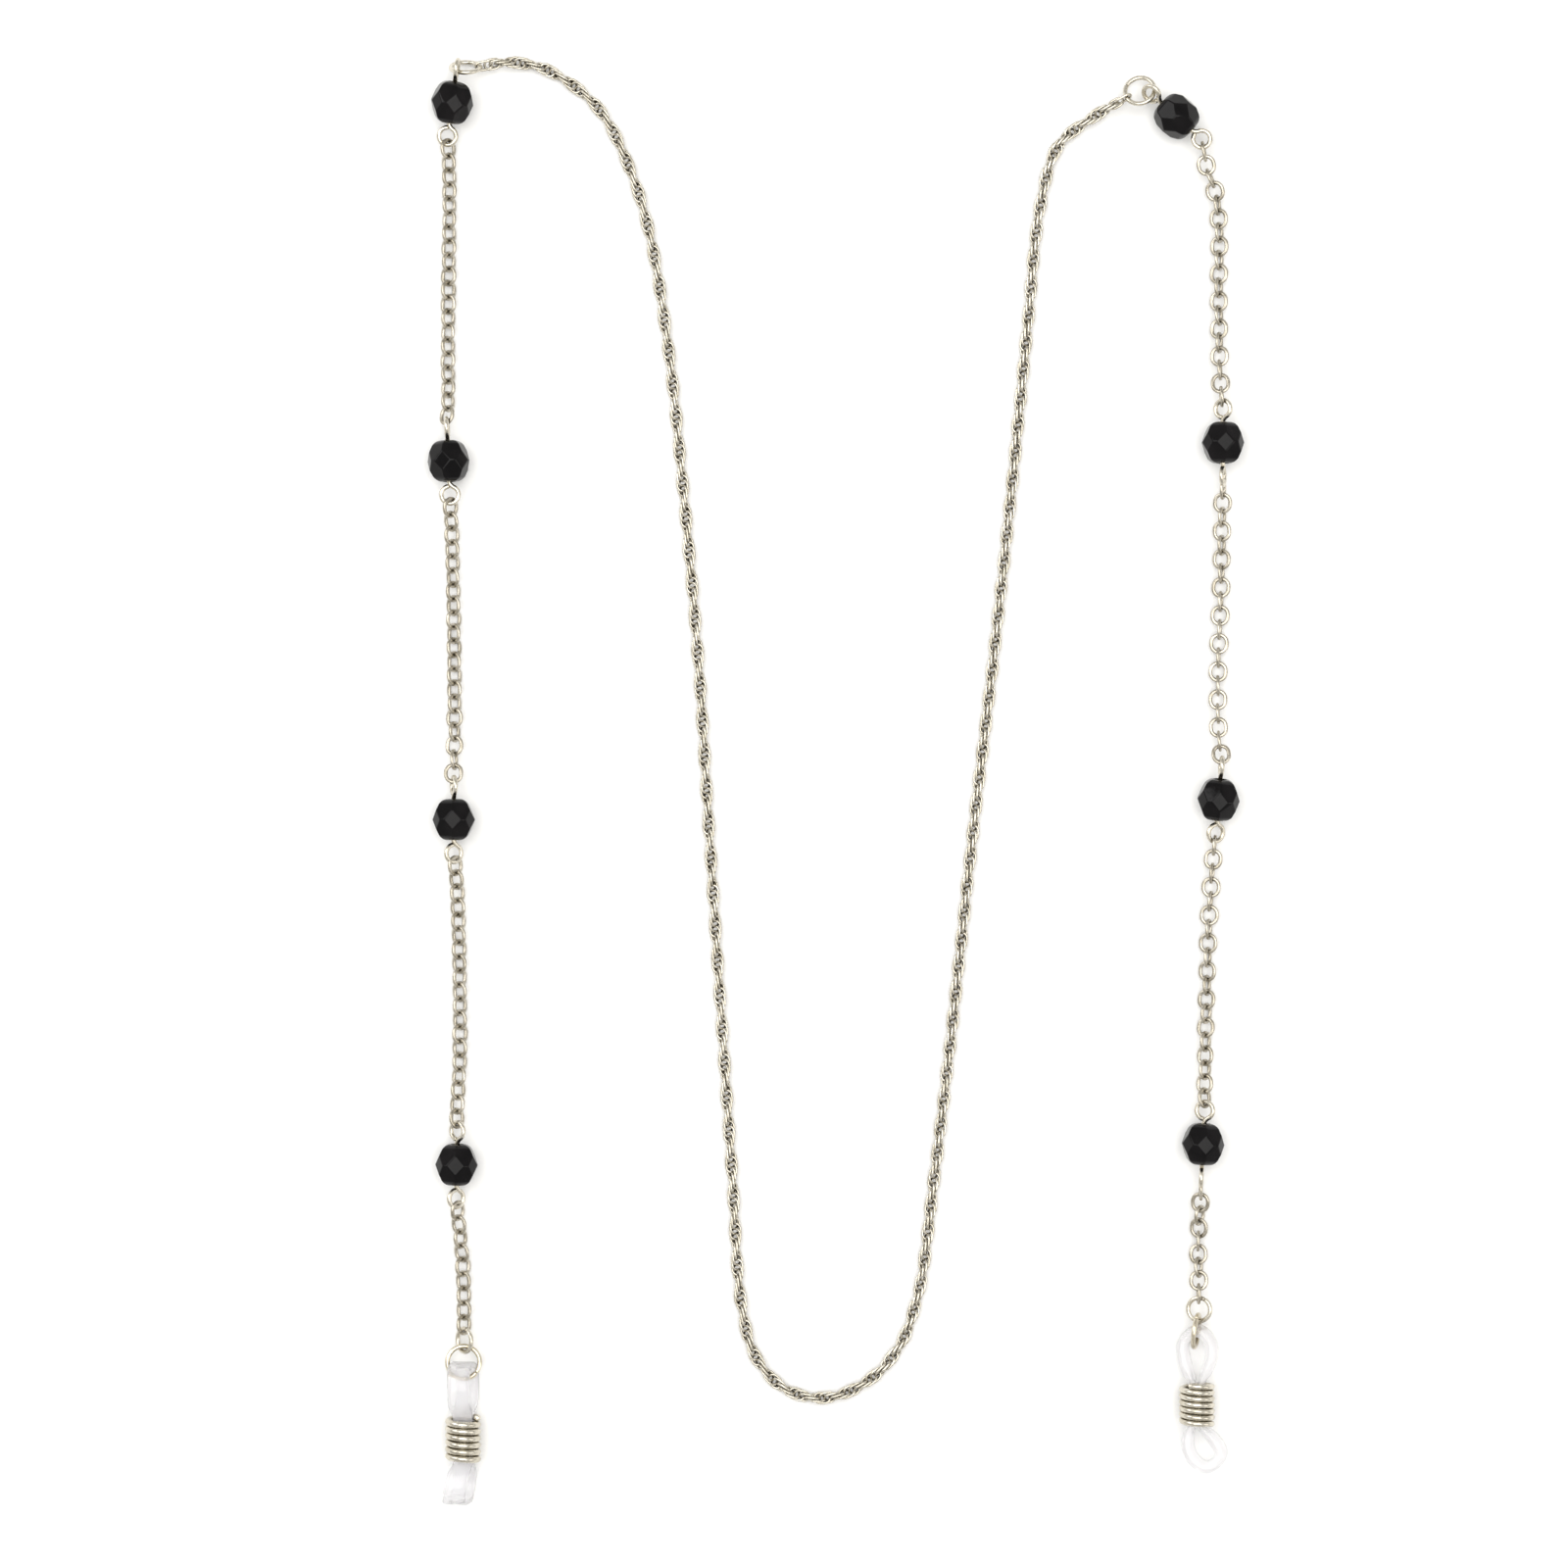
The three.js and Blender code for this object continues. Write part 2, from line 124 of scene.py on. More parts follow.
# Where each length of cable chain lies, and how far its wide links are rolled from lying flat, at
# even steps from its upper to its lower end.
CABLES = {
    "left": [
        {"way": [[-52.5, 82], [-52.6, 69], [-52.7, 57], [-52.6, 52]], "roll": [40, 41]},
        {"way": [[-52.1, 33], [-51.9, 20], [-51.8, 8], [-51.8, 3]], "roll": [45, 45, 44, 34, 5]},
        {"way": [[-51.4, -15], [-51.15, -25], [-51.1, -38], [-51.3, -43]], "roll": [42, 43]},
        {"way": [[-51.1, -61], [-50.7, -66], [-50.5, -71]], "roll": [40, 42]},
    ],
    "right": [
        {
            "way": [[50.6, 83], [51.7, 80.2], [52.3, 76], [52.3, 66], [52.4, 55]],
            "roll": [8, 25, 25, 25, 5],
        },
        {"way": [[52.7, 36], [52.6, 26], [52.2, 14], [52.2, 6]], "roll": [22, 20, 14, 6, 4]},
        {"way": [[51.4, -12], [50.9, -21], [50.6, -31], [50.3, -41]], "roll": [15, 15, 26, 36, 42]},
        {"way": [[49.7, -58], [49.5, -63], [49.5, -67]], "roll": [4, 34, 10, 28, 2]},
    ],
}

ROPE_ROUTE = [
    [-44.2, 97.6], [-40.2, 97.0], [-36.2, 94.9], [-32.0, 91.1], [-28.3, 84.1], [-25.3, 74.5],
    [-22.7, 58.8], [-20.5, 37.8], [-18.6, 16.0], [-17.2, -6.0], [-15.7, -28.9], [-14.0, -53.9],
    [-12.7, -71.8], [-10.8, -78.7], [-6.8, -83.1], [-1.1, -84.3], [4.5, -82.0], [8.6, -77.6],
    [11.4, -70.1], [13.3, -56.3], [16.0, -33.5], [18.8, -7.5], [21.7, 17.2], [24.2, 40.5],
    [26.3, 62.0], [28.0, 78.0], [30.5, 86.3], [35.3, 90.2],
]

# Rings: centre, how steeply they are tilted, and the way that their raised edge points.
RINGS = {
    "left": {
        "top": {"at": [-50.2, 96.75, 2.35], "tilt": 61, "raised": [0, -1]},
        "small": {"at": [-50.4, -76.35, 1.95], "tilt": 50, "raised": [1, 0]},
        "large": {"at": [-50.5, -79.32, 2.25], "tilt": 8, "raised": [0, -1]},
    },
    "right": {
        "top": {"at": [41.45, 93.6, 2.25], "tilt": 24, "raised": [0.5, -0.85]},
        "small": {"at": [49.5, -72.08, 2.5], "tilt": 23, "raised": [1, 0]},
        "large": {"at": [49.1, -75.0, 2.55], "tilt": 104, "raised": [1, -0.12]},
    },
}

# Clear loops: centre of the coil, roll about the strand, pitch of the coil, sideways lean of the
# lower loop, half the band's thickness, how far its two strands slide apart sideways, and the band's
# route as [across, along] from the centre: up out of the coil, over the top and back into it, then
# down and round the lower loop.
GRIPS = {
    "left": {
        "at": [-50.55, -89.7, 2.5], "roll": 90, "pitch": 0.93, "lean": -0.15,
        "half_thick": 0.55, "shear": 0.5,
        "upper": [
            [0.56, 0], [0.62, 3.2], [1.35, 4.8], [1.8, 6.8], [1.55, 9.0], [0.0, 9.95],
            [-1.55, 9.0], [-1.8, 6.8], [-1.35, 4.8], [-0.62, 3.2],
        ],
        "lower": [
            [-0.56, 0], [-0.62, -3.2], [-1.3, -4.6], [-1.75, -6.3], [-1.2, -7.9],
            [0.0, -8.35], [1.2, -7.9], [1.75, -6.3], [1.3, -4.6], [0.62, -3.2],
        ],
    },
    "right": {
        "at": [49.2, -84.9, 2.5], "roll": -14, "pitch": 0.84, "lean": 0,
        "half_thick": 0.82, "shear": 0,
        "upper": [
            [0.56, 0], [0.62, 2.9], [1.3, 4.4], [1.95, 6.3], [2.0, 7.9], [1.3, 9.2], [0.15, 9.95],
            [-1.1, 9.3], [-1.9, 7.9], [-1.8, 6.3], [-1.25, 4.4], [-0.62, 2.9],
        ],
        "lower": [
            [-0.56, 0], [-0.62, -2.9], [-1.15, -4.3], [-1.2, -6.0], [-0.4, -7.6],
            [1.1, -8.55], [2.6, -7.9], [3.3, -6.5], [2.3, -4.7], [0.62, -2.9],
        ],
    },
}

# ---------------------------------------------------------------- camera, light and floor


def add_camera():
    """A long lens straight above the chain."""
    data = bpy.data.cameras.new("camera")
    data.lens = 100
    data.sensor_width = 36
    view_size = 213.3 * MM
    view_centre = (-7.13 * MM, -0.67 * MM)
    chain_height = 2.0 * MM
    camera = bpy.data.objects.new("camera", data)
    camera.location = (*view_centre, chain_height + view_size * data.lens / data.sensor_width)
    bpy.context.scene.collection.objects.link(camera)
    bpy.context.scene.camera = camera


def add_area_light(name, place, size, power, tint):
    """A square soft light that points at the middle of the table."""
    data = bpy.data.lights.new(name, "AREA")
    data.shape = "RECTANGLE"
    data.size = size
    data.size_y = size
    data.energy = power
    data.color = tint
    light = bpy.data.objects.new(name, data)
    light.location = place
    direction = Vector((0, 0, 0)) - Vector(place)
    light.rotation_mode = "QUATERNION"
    light.rotation_quaternion = direction.to_track_quat("-Z", "Y")
    bpy.context.scene.collection.objects.link(light)


def add_studio():
    """Soft daylight from all round, with a broad light above and one at each side."""
    scene = bpy.context.scene
    scene.view_settings.view_transform = "Standard"
    world = bpy.data.worlds.new("studio")
    world.use_nodes = True
    sky = world.node_tree.nodes["Background"]
    sky.inputs["Color"].default_value = (1.0, 0.99, 0.97, 1)
    sky.inputs["Strength"].default_value = 0.62
    scene.world = world
    add_area_light("overhead", place=(0.0, 0.05, 0.85), size=0.75, power=5.2, tint=(1.0, 0.99, 0.97))
    add_area_light("window", place=(-0.75, 0.35, 0.55), size=0.5, power=2.4, tint=(1.0, 1.0, 1.0))
    add_area_light("fill", place=(0.8, -0.2, 0.5), size=0.45, power=1.2, tint=(1.0, 0.97, 0.93))


# ---------------------------------------------------------------- lines in space


def unit(vector):
    return vector / np.linalg.norm(vector)


def laid_in_plane(vector, normal):
    """The unit vector that points the way of vector and lies in the plane with this normal."""
    return unit(vector - np.dot(vector, normal) * normal)


def turned(axis, degrees):
    """Rotation matrix about one of the axes 0, 1 or 2."""
    c, s = math.cos(math.radians(degrees)), math.sin(math.radians(degrees))
    i, j = [(1, 2), (2, 0), (0, 1)][axis]
    matrix = np.eye(3)
    matrix[i, i], matrix[i, j], matrix[j, i], matrix[j, j] = c, -s, s, c
    return matrix


def smooth_line(points, closed=False, steps=16):
    """A centripetal Catmull-Rom curve through the points, as a dense line."""
    p = np.array(points, float)
    n = len(p)
    t = np.linspace(0, 1, steps, endpoint=False)[:, None]
    line = []
    for i in range(n if closed else n - 1):
        b, c = p[i], p[(i + 1) % n]
        a = p[i - 1] if closed or i > 0 else 2 * b - c
        d = p[(i + 2) % n] if closed or i + 2 < n else 2 * c - b
        ab, bc, cd = (np.linalg.norm(v) ** 0.5 for v in (b - a, c - b, d - c))
        leave = ((b - a) / ab - (c - a) / (ab + bc) + (c - b) / bc) * bc
        arrive = ((c - b) / bc - (d - b) / (bc + cd) + (d - c) / cd) * bc
        cubic = (2 * b - 2 * c + leave + arrive) * t**3
        square = (3 * c - 3 * b - 2 * leave - arrive) * t**2
        line.append(cubic + square + leave * t + b)
    if not closed:
        line.append(p[-1:])
    return np.vstack(line)


class Route:
    """A smooth line through way points that can be read by distance along it."""

    def __init__(self, points):
        self.line = smooth_line(points)
        steps = np.linalg.norm(np.diff(self.line, axis=0), axis=1)
        self.distance = np.concatenate([[0.0], np.cumsum(steps)])
        self.length = self.distance[-1]

    def at(self, distance):
        return np.array([np.interp(distance, self.distance, self.line[:, k]) for k in range(3)])

    def heading(self, distance):
        reach = 0.4 * MM
        low, high = max(0, distance - reach), min(self.length, distance + reach)
        return unit(self.at(high) - self.at(low))

    def points(self, start, end, spacing):
        count = max(2, round((end - start) / spacing) + 1)
        return [self.at(d) for d in np.linspace(start, end, count)]


def carried(line, start):
    """A direction carried along a line without twisting about it."""
    tangents = np.gradient(line, axis=0)
    out, current = [], start
    for tangent in tangents:
        current = laid_in_plane(current, unit(tangent))
        out.append(current)
    return np.array(out)


# ---------------------------------------------------------------- meshes


def round_section(radius, sides):
    turn = np.arange(sides) * 2 * math.pi / sides
    return radius * np.column_stack([np.cos(turn), np.sin(turn)])


def flattened_section(half_across, half_high, sides, power=3.0):
    """A section between an ellipse and a rectangle."""
    turn = (np.arange(sides) + 0.5) * 2 * math.pi / sides
    c, s = np.cos(turn), np.sin(turn)
    size = (np.abs(c) ** power + np.abs(s) ** power) ** (-1 / power)
    return np.column_stack([half_across * size * c, half_high * size * s])


def sweep(line, section, across, closed=False, scale=None):
    """Points and faces of a section drawn along a line. across is the section's second axis."""
    line = np.array(line)
    n, m = len(line), section.shape[-2]
    if closed:
        tangent = np.roll(line, -1, 0) - np.roll(line, 1, 0)
    else:
        tangent = np.gradient(line, axis=0)
    tangent /= np.linalg.norm(tangent, axis=1)[:, None]
    second = np.broadcast_to(across, line.shape)
    second = second - (second * tangent).sum(1)[:, None] * tangent
    second /= np.linalg.norm(second, axis=1)[:, None]
    first = np.cross(second, tangent)
    section = np.broadcast_to(section, (n, m, 2))
    if scale is not None:
        section = section * np.array(scale)[:, None, None]
    points = line[:, None] + section[:, :, :1] * first[:, None] + section[:, :, 1:] * second[:, None]
    here = np.arange(n if closed else n - 1)[:, None]
    side = np.arange(m)[None, :]
    ahead, beside = (here + 1) % n, (side + 1) % m
    corners = [here * m + side, here * m + beside, ahead * m + beside, ahead * m + side]
    faces = np.stack(corners, axis=-1).reshape(-1, 4).tolist()
    if not closed:
        faces.append(list(range(m))[::-1])
        faces.append([(n - 1) * m + k for k in range(m)])
    return points.reshape(-1, 3), faces


def wire(line, radius, start):
    """A round wire with softly rounded ends. start is a direction across its first point."""
    line = np.array(line)
    tangents = np.gradient(line, axis=0)
    head, tail = unit(tangents[0]), unit(tangents[-1])
    steps = [0.15, 0.5, 0.85]
    rounding = [math.sqrt(1 - s * s) for s in steps]
    before = [line[0] - head * radius * 0.5 * s for s in reversed(steps)]
    after = [line[-1] + tail * radius * 0.5 * s for s in steps]
    scale = rounding[::-1] + [1.0] * len(line) + rounding
    whole = np.vstack([before, line, after])
    return sweep(whole, round_section(radius, SIDES["wire"]), carried(whole, start), scale=scale)


def oval_line(width, length, wire_size, arc_steps=12):
    """The middle of an oval link's wire, long way along Y."""
    radius = (width - wire_size) / 2
    stretch = (length - width) / 2
    points = []
    for half in (0, 1):
        for step in range(arc_steps + 1):
            turn = math.pi * (half + step / arc_steps)
            shift = stretch if half == 0 else -stretch
            points.append([radius * math.cos(turn), radius * math.sin(turn) + shift, 0])
    return np.array(points)


def facing(long_way, normal):
    """Matrix whose columns are a link's width, its long way and its normal."""
    y = unit(long_way)
    z = laid_in_plane(normal, y)
    return np.column_stack([np.cross(y, z), y, z])


def new_object(name, data, material):
    piece = bpy.data.objects.new(name, data)
    bpy.context.scene.collection.objects.link(piece)
    data.materials.append(material)
    return piece


class Mesh:
    """Collects shapes and turns them into one named object."""

    def __init__(self):
        self.points = []
        self.faces = []
        self.count = 0

    def add(self, shape, matrix=None, origin=None):
        points, faces = shape
        if matrix is not None:
            points = points @ matrix.T
        if origin is not None:
            points = points + origin
        self.points.append(points)
        self.faces += [[i + self.count for i in face] for face in faces]
        self.count += len(points)
        return self

    def build(self, name, material, smooth=True):
        data = bpy.data.meshes.new(name)
        data.from_pydata(np.vstack(self.points).tolist(), [], self.faces)
        data.validate()
        if smooth:
            data.shade_smooth()
        return new_object(name, data, material)


# ---------------------------------------------------------------- materials


def new_material(name):
    """A new material with its nodes, links and shader."""
    material = bpy.data.materials.new(name)
    material.use_nodes = True
    nodes = material.node_tree.nodes
    return material, nodes, material.node_tree.links, nodes["Principled BSDF"]


def add_noise(nodes, links, scale, detail):
    """Noise in the object's own coordinates."""
    place = nodes.new("ShaderNodeTexCoord")
    noise = nodes.new("ShaderNodeTexNoise")
    noise.inputs["Scale"].default_value = scale
    noise.inputs["Detail"].default_value = detail
    links.new(place.outputs["Object"], noise.inputs["Vector"])
    return noise.outputs["Fac"]


def add_ramp(nodes, links, source, stops):
    """Colours at two places of a value from 0 to 1."""
    ramp = nodes.new("ShaderNodeValToRGB")
    for element, (place, colour) in zip(ramp.color_ramp.elements, stops):
        element.position = place
        element.color = (*colour, 1)
    links.new(source, ramp.inputs["Fac"])
    return ramp.outputs["Color"]


def add_product(nodes, links, one, other):
    """One colour times the other. The colour sockets share their names, so they go by number."""
    first, second, result = 6, 7, 2
    mix = nodes.new("ShaderNodeMix")
    mix.data_type = "RGBA"
    mix.blend_type = "MULTIPLY"
    mix.inputs["Factor"].default_value = 1.0
    links.new(one, mix.inputs[first])
    links.new(other, mix.inputs[second])
    return mix.outputs[result]


def add_polish(nodes, links, shader, noise, smooth, rough):
    """Roughness that follows the noise. smooth and rough are each a place in it and a roughness."""
    stops = [(place, (roughness,) * 3) for place, roughness in (smooth, rough)]
    links.new(add_ramp(nodes, links, noise, stops), shader.inputs["Roughness"])


def add_bump(nodes, links, shader, noise, strength, depth):
    """Unevenness that follows the noise. depth is in millimetres."""
    bump = nodes.new("ShaderNodeBump")
    bump.inputs["Strength"].default_value = strength
    bump.inputs["Distance"].default_value = depth * MM
    links.new(noise, bump.inputs["Height"])
    links.new(bump.outputs["Normal"], shader.inputs["Normal"])


def silver(name, bright, tarnish, crevice_shade, shade_reach, roughness):
    """Silver plate: bright where it is rubbed, tarnished in patches, with painted shade darkening its
    crevices.

    The reach of the painted crevice shade is in millimetres, and roughness is the smoothest and the
    roughest.
    """
    material, nodes, links, shader = new_material(name)
    shader.inputs["Metallic"].default_value = 1.0
    patches = add_noise(nodes, links, scale=620.0, detail=4.0)
    plate = add_ramp(nodes, links, patches, [(0.35, tarnish), (0.62, bright)])
    # Painted shade: where ambient occlusion finds crevices and gaps between parts, the colour is
    # darkened towards the crevice colour.
    shade = nodes.new("ShaderNodeAmbientOcclusion")
    shade.samples = 12
    shade.inputs["Distance"].default_value = shade_reach * MM
    painted_shade = add_ramp(nodes, links, shade.outputs["AO"], [(0.15, crevice_shade), (0.8, (1, 1, 1))])
    links.new(add_product(nodes, links, plate, painted_shade), shader.inputs["Base Color"])
    scratches = add_noise(nodes, links, scale=5200.0, detail=3.0)
    smoothest, roughest = roughness
    add_polish(nodes, links, shader, scratches, smooth=(0.3, smoothest), rough=(0.75, roughest))
    add_bump(nodes, links, shader, scratches, strength=0.12, depth=0.02)
    return material


def black_glass():
    """Black pressed glass, polished by fire: a few dull spots and facets that aren't quite flat."""
    material, nodes, links, shader = new_material("jet_glass")
    swirl = add_noise(nodes, links, scale=340.0, detail=2.0)
    tones = [(0.35, (0.003, 0.0027, 0.003)), (0.7, (0.008, 0.007, 0.0075))]
    links.new(add_ramp(nodes, links, swirl, tones), shader.inputs["Base Color"])
    shader.inputs["IOR"].default_value = 1.54
    shader.inputs["Specular IOR Level"].default_value = 0.12
    wear = add_noise(nodes, links, scale=2600.0, detail=4.0)
    add_polish(nodes, links, shader, wear, smooth=(0.4, 0.06), rough=(0.8, 0.2))
    waves = add_noise(nodes, links, scale=700.0, detail=1.0)
    add_bump(nodes, links, shader, waves, strength=0.25, depth=0.03)
    return material


def clear_vinyl():
    """Clear soft vinyl with a faint haze."""
    material, nodes, links, shader = new_material("clear_vinyl")
    shader.inputs["Base Color"].default_value = (0.955, 0.95, 0.97, 1)
    shader.inputs["Transmission Weight"].default_value = 0.72
    shader.inputs["IOR"].default_value = 1.46
    shader.inputs["Alpha"].default_value = 0.7
    haze = add_noise(nodes, links, scale=900.0, detail=3.0)
    add_polish(nodes, links, shader, haze, smooth=(0.3, 0.04), rough=(0.8, 0.16))
    waves = add_noise(nodes, links, scale=420.0, detail=2.0)
    add_bump(nodes, links, shader, waves, strength=0.3, depth=0.06)
    return material


def table_top():
    """The pale matt table."""
    material, nodes, links, shader = new_material("pale_table")
    grain = add_noise(nodes, links, scale=60.0, detail=3.0)
    tones = [(0.3, (0.93, 0.93, 0.925)), (0.7, (0.95, 0.95, 0.945))]
    links.new(add_ramp(nodes, links, grain, tones), shader.inputs["Base Color"])
    shader.inputs["Roughness"].default_value = 0.8
    return material


def add_floor():
    """The table, a hair below Z = 0, where the beads rest."""
    half = 3.0
    drop = 0.05 * MM
    corners = [(-half, -half, 0), (half, -half, 0), (half, half, 0), (-half, half, 0)]
    floor = Mesh().add((np.array(corners), [[0, 1, 2, 3]])).build("floor", table_top(), smooth=False)
    floor.location.z = -drop


# ---------------------------------------------------------------- where things hook together


def pin_matrix(pin):
    """How a pin is turned from lying along Y."""
    return turned(2, pin["heading"]) @ turned(0, pin["tilt"])


def eye_hook(pin, side):
    """The eye at the upper (side 1) or lower (side -1) end of a pin."""
    matrix = pin_matrix(pin)
    roll = math.radians(pin["upper"] if side > 0 else pin["lower"])
    centre = np.array(pin["at"]) * MM + matrix @ (Y_AXIS * side * PIN["eye_offset"] * MM)
    normal = matrix @ np.array([-math.sin(roll), 0, math.cos(roll)])
    return {
        "centre": centre, "normal": normal,
        "radius": PIN["eye_radius"] * MM, "wire": PIN["wire"] * MM,
    }


def ring_hook(place, size):
    """A jump ring, as something to hook into."""
    tilt = math.radians(place["tilt"])
    towards = unit(np.array([*place["raised"], 0.0]))
    normal = Z_AXIS * math.cos(tilt) - towards * math.sin(tilt)
    return {
        "centre": np.array(place["at"]) * MM, "normal": normal,
        "radius": size["radius"] * MM, "wire": size["wire"] * MM,
    }


def grab_point(hook, target):
    """The point on a hook's wire that lies nearest to the way a chain leaves it."""
    return hook["centre"] + laid_in_plane(target - hook["centre"], hook["normal"]) * hook["radius"]


def chain_route(start, end, way, body):
    """The line of a chain from hook to hook: it sinks to the table and follows the way points."""
    rest = body["rest_height"] * MM
    points = []
    for i, (x, y) in enumerate(way):
        hook = start if i < len(way) / 2 else end
        place = np.array([x * MM, y * MM, rest])
        grab = grab_point(hook, place)
        lifted = max(0, 1 - math.hypot(*(place - grab)[:2]) / (body["drape"] * MM))
        place[2] = rest + lifted * (grab[2] - rest)
        points.append(place)
    return Route([grab_point(start, points[0]), *points, grab_point(end, points[-1])])


# ---------------------------------------------------------------- chains


def uneven(most):
    """A random amount from -most to most."""
    return chance.uniform(-most, most)


def add_rope_end(name, side, hook, grab, target, material):
    """The first or last link of the rope, which hangs in a jump ring and points along the rope."""
    half_end = (END_LINK["length"] - END_LINK["wire"]) * MM / 2
    inset = (hook["wire"] + END_LINK["wire"] * MM) / 2 + PLAY * MM
    middle = oval_line(END_LINK["width"] * MM, END_LINK["length"] * MM, END_LINK["wire"] * MM)
    section = round_section(END_LINK["wire"] * MM / 2, SIDES["end_link"])
    link = sweep(middle, section, Z_AXIS, closed=True)
    leave = unit(target - grab)
    normal = np.cross(laid_in_plane(hook["normal"], leave), leave)
    place = grab + leave * (half_end - inset)
    piece = Mesh().add(link, facing(leave, normal), place).build(f"{name}_end_{side}", material)
    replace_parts(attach(piece, "rope"), f"rope_end_link_{side}")
    return piece


def add_rope(name, start, end, material):
    """Rope chain: flat oval links, each turned a little further than the one before."""
    route = chain_route(start, end, ROPE_ROUTE, ROPE)
    half_link = (ROPE_LINK["length"] - ROPE_LINK["wire"]) * MM / 2
    section = round_section(ROPE_LINK["wire"] * MM / 2, SIDES["rope_link"])
    middle = oval_line(ROPE_LINK["width"] * MM, ROPE_LINK["length"] * MM, ROPE_LINK["wire"] * MM, 10)
    link = sweep(middle, section, Z_AXIS, closed=True)
    first = half_link + (start["wire"] + ROPE_LINK["wire"] * MM) / 2 + PLAY * MM
    last = route.length - first
    count = round((last - first) / (ROPE_LINK["pitch"] * MM)) + 1
    step = (last - first) / (count - 1)
    mesh = Mesh()
    twist = 0.0
    for i in range(count):
        distance = first + step * i
        heading = route.heading(distance)
        half_twist = np.interp(distance / route.length, ROPE_TWIST["share"], ROPE_TWIST["length"]) * MM
        twist += math.pi * step / half_twist
        turn = twist + math.radians(uneven(ROPE["uneven_roll"]))
        flat = laid_in_plane(Z_AXIS, heading)
        normal = flat * math.cos(turn) + np.cross(heading, flat) * math.sin(turn)
        place = route.at(distance)
        place[2] = max(place[2], ROPE["rest_height"] * MM)
        lean = np.array([uneven(ROPE["uneven_lean"]) for _ in range(3)])
        mesh.add(link, facing(heading + lean, normal), place + lean * MM)
    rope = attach(mesh.build(name, material), "rope")
    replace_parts(rope, "rope_chain")

    reach = END_LINK["length"] * MM
    ends = [
        add_rope_end(name, "left", start, route.at(0), route.at(reach), material),
        add_rope_end(
            name, "right", end, route.at(route.length), route.at(route.length - reach), material,
        ),
    ]
    low, high = first - half_link, last + half_link
    route.at(low)
    route.points(low, high, CORD_STEP * MM)


def cable_link(spread):
    """One oval link with flattened faces; spread makes it a little wider or narrower."""
    face = CABLE_LINK["face"] * MM
    section = flattened_section(face / 2, CABLE_LINK["wire"] * MM / 2, SIDES["cable_link"])
    middle = oval_line((CABLE_LINK["width"] + spread) * MM, CABLE_LINK["length"] * MM, face)
    return sweep(middle, section, Z_AXIS, closed=True)


def add_cable(side, number, start, end, cable, material):
    """Cable chain: oval links in turn rolled one way and the other, from hook to hook."""
    route = chain_route(start, end, cable["way"], CABLE)
    half = (CABLE_LINK["length"] - CABLE_LINK["face"]) * MM / 2
    slack = (CABLE_LINK["face"] / 2 + CABLE_LINK["gap"]) * MM
    first = half - start["wire"] / 2 - slack
    last = route.length - (half - end["wire"] / 2 - slack)
    count = math.ceil((last - first) / (CABLE_LINK["pitch"] * MM)) + 1
    mesh = Mesh()
    for i in range(count):
        share = i / (count - 1)
        distance = first + (last - first) * share
        heading = route.heading(distance)
        wide = np.interp(share, np.linspace(0, 1, len(cable["roll"])), cable["roll"])
        crossed = 90 * ((i + 1) % 2)  # every other link stands across its neighbours
        roll = math.radians(wide - crossed + uneven(CABLE["uneven_roll"]))
        flat = laid_in_plane(Z_AXIS, heading)
        normal = flat * math.cos(roll) + np.cross(heading, flat) * math.sin(roll)
        lean = np.array([uneven(CABLE["uneven_lean"]) for _ in range(3)])
        place = route.at(distance)
        place[2] = max(place[2], CABLE["rest_height"] * MM)
        mesh.add(cable_link(uneven(CABLE_LINK["uneven"])), facing(heading + lean, normal), place)
    body = f"{side}_cable_{number}"
    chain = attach(mesh.build(f"{body}_links", material), body)
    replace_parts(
        chain, f"{side}_cable_chain_{number}", f"{side}_upper_end_link_{number}",
        f"{side}_lower_end_link_{number}",
    )
    low, high = max(0, first - half), min(route.length, last + half)
    if high - low > SHORTEST_CORD * MM:
        route.at(low)
        route.points(low, high, CORD_STEP * MM)


# ---------------------------------------------------------------- pins, beads, rings and grips


def eye_points(pin, side):
    """The open eye at one end of a pin, from the neck round to the wire's cut end."""
    hook = eye_hook(pin, side)
    along = pin_matrix(pin) @ Y_AXIS
    across = np.cross(along, hook["normal"])
    points_round = 23
    points = []
    for angle in np.linspace(PIN["start"], PIN["end"], points_round):
        turn = math.radians(angle)
        ahead = -side * math.cos(turn) * along
        points.append(hook["centre"] + (across * math.sin(turn) + ahead) * hook["radius"])
    return points


def add_pin(side, number, pin, material):
    """An eye pin: one wire through the bead, with an eye bent at each end."""
    matrix = pin_matrix(pin)
    middle = np.array(pin["at"]) * MM
    neck = matrix @ (Y_AXIS * PIN["neck"] * MM)
    shank = [middle - neck, middle, middle + neck]
    line = smooth_line([*eye_points(pin, -1)[::-1], *shank, *eye_points(pin, 1)], steps=4)
    shape = wire(line, PIN["wire"] * MM / 2, matrix @ X_AXIS)
    body = f"{side}_pin_{number}"
    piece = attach(Mesh().add(shape).build(f"{body}_wire", material), body)
    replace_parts(piece, f"{side}_eye_pin_{number}")


